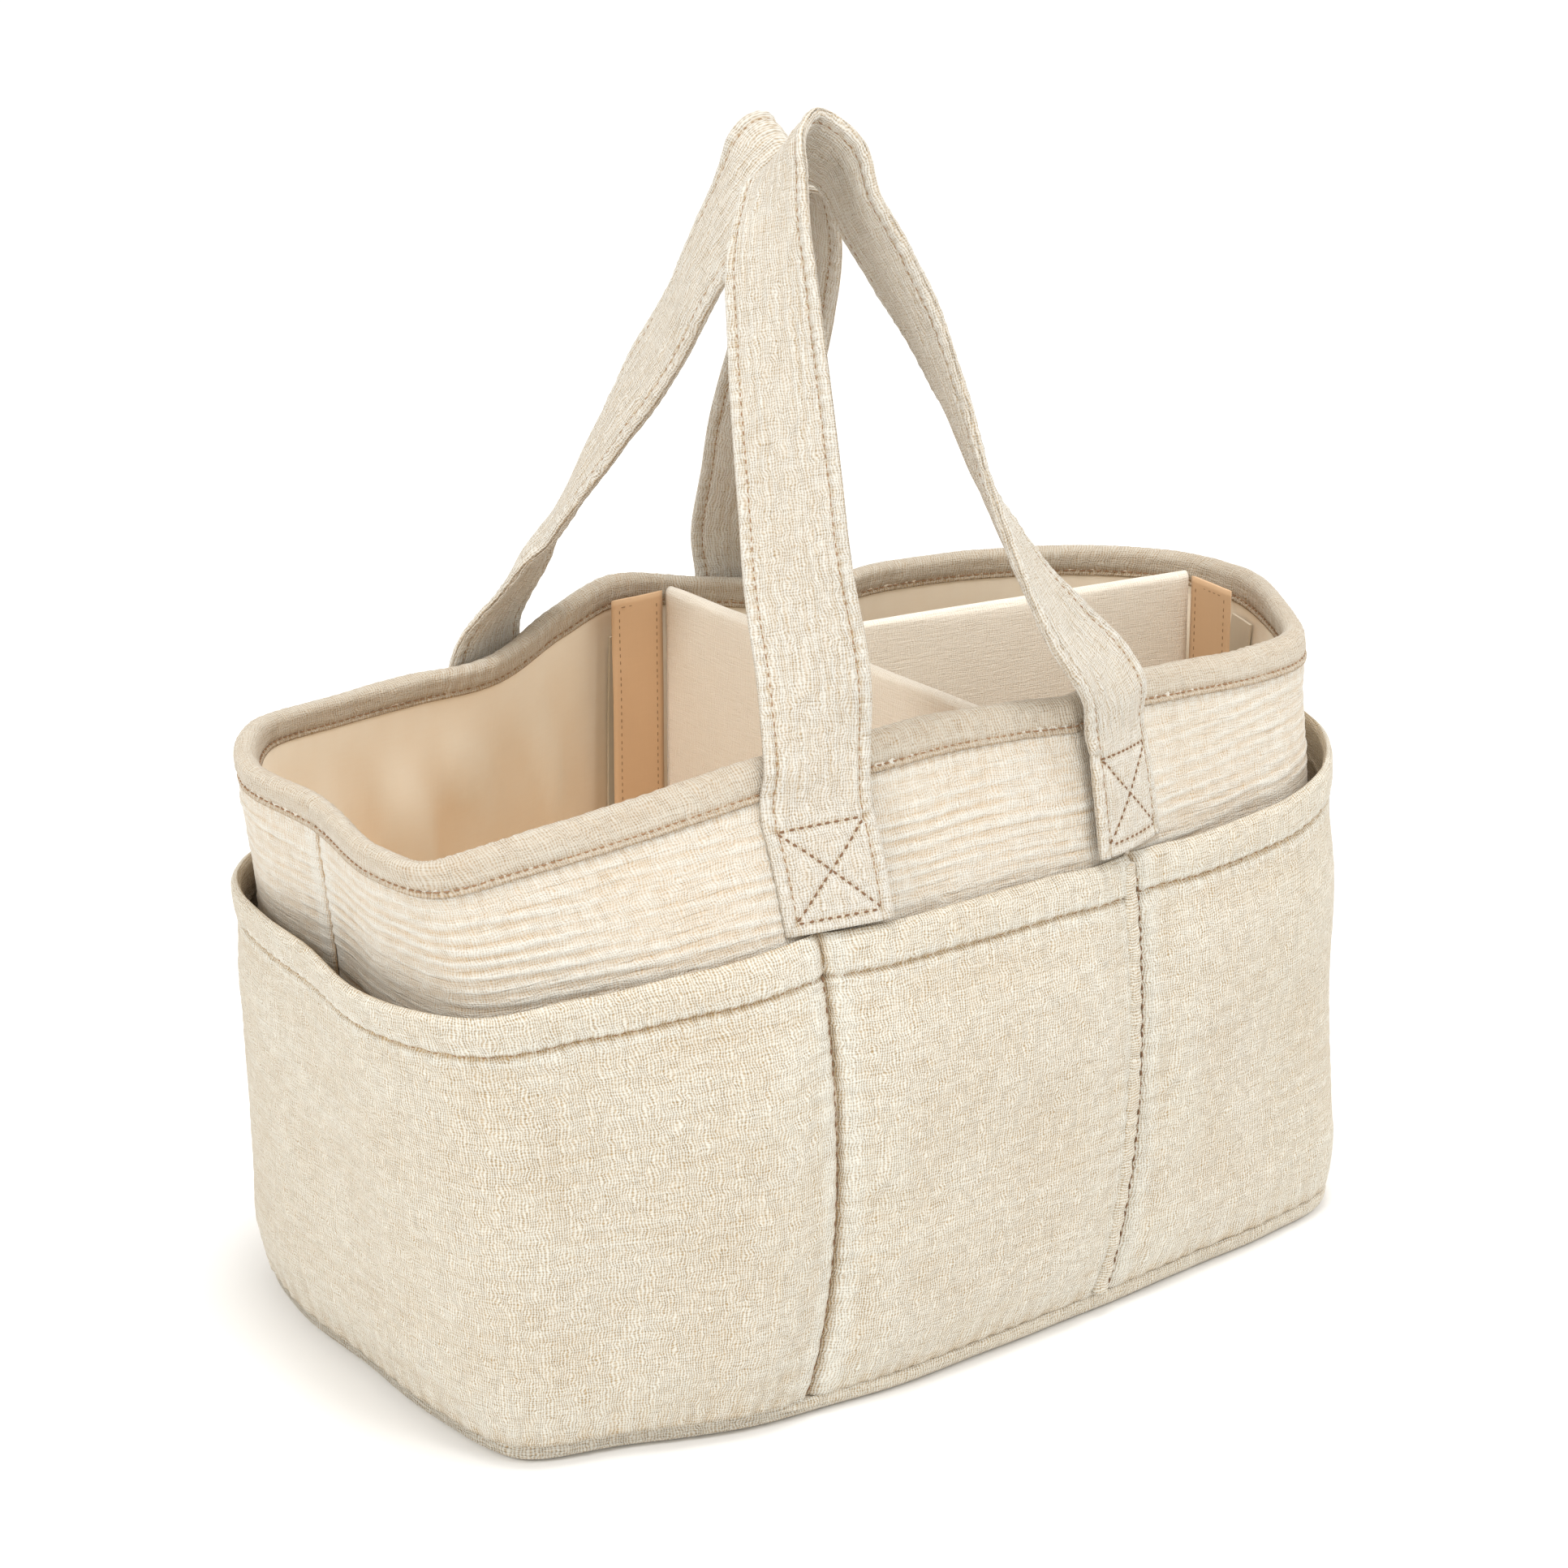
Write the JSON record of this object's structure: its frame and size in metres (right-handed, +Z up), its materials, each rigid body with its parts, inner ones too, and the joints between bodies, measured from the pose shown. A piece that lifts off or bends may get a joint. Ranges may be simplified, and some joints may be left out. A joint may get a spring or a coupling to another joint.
{
  "type": "diaper caddy",
  "caption": "Soft open-topped caddy with pockets all round, two long fold-down handles and a lift-out T-shaped divider",
  "frame": {"origin": "under the middle of the bounding box, on the surface it stands on", "axes": "+Z up, -Y the front with the two sewn handle ends, X along the length"},
  "size_m": [0.422, 0.2478, 0.4264],
  "materials": {
    "gauze": "matte double gauze with crosswise crinkles",
    "pocket_gauze": "matte fine gauze",
    "webbing": "matte folded gauze strap, welt edges",
    "lining": "smooth matte cotton",
    "binding": "matte bias binding",
    "padding": "white wadding",
    "board": "plain grey board",
    "divider_cloth": "matte linen weave",
    "tape": "hook-and-loop tape"
  },
  "bodies": {
    "caddy": {"base_panel": "pocket_gauze", "base_board": "board", "lining_floor": "lining", "outer_wall_front": "gauze", "outer_wall_back": "gauze", "padding_front": "padding", "padding_right_end": "padding", "padding_back": "padding", "padding_left_end": "padding", "lining_wall": "lining", "rim_binding": "binding", "pocket_left": "pocket_gauze", "pocket_front": "pocket_gauze", "pocket_right": "pocket_gauze", "pocket_back": "pocket_gauze", "front_handle_tab_left": "webbing", "front_handle_tab_right": "webbing", "back_handle_tab_left": "webbing", "back_handle_tab_right": "webbing", "back_lining_loops": "tape", "front_lining_loops": "tape", "right_lining_loops": "tape"},
    "front_handle_loop": {"front_handle": "webbing"},
    "back_handle_loop": {"back_handle": "webbing"},
    "divider": {"divider_cross_cover": "divider_cloth", "divider_cross_board": "board", "divider_long_cover": "divider_cloth", "divider_long_board": "board"},
    "back_flap_body": {"back_flap": "lining", "back_flap_hooks": "tape"},
    "front_flap_body": {"front_flap": "lining", "front_flap_hooks": "tape"},
    "right_flap_body": {"right_flap": "lining", "right_flap_hooks": "tape"}
  },
  "joints": [
    {"name": "front_handle_fold", "type": "hinge", "parent": "caddy", "child": "front_handle_loop", "pos_m": [0, -0.1077, 0.2128], "axis": [1, 0, 0], "range_deg": [0, 165]},
    {"name": "back_handle_fold", "type": "hinge", "parent": "caddy", "child": "back_handle_loop", "pos_m": [0, 0.1167, 0.1968], "axis": [-1, 0, 0], "range_deg": [0, 165]},
    {"name": "divider_lift", "type": "slide", "parent": "caddy", "child": "divider", "axis": [0, 0, 1], "range_m": [0, 0.05]},
    {"name": "back_flap_swing", "type": "hinge", "parent": "divider", "child": "back_flap_body", "pos_m": [0.0058, 0.0989, 0.115], "axis": [0, 0, 1], "range_deg": [0, 80]},
    {"name": "front_flap_swing", "type": "hinge", "parent": "divider", "child": "front_flap_body", "pos_m": [0.0239, -0.0769, 0.115], "axis": [0, 0, -1], "range_deg": [0, 80]},
    {"name": "right_flap_swing", "type": "hinge", "parent": "divider", "child": "right_flap_body", "pos_m": [0.1772, 0.0014, 0.115], "axis": [0, 0, -1], "range_deg": [0, 80]}
  ]
}
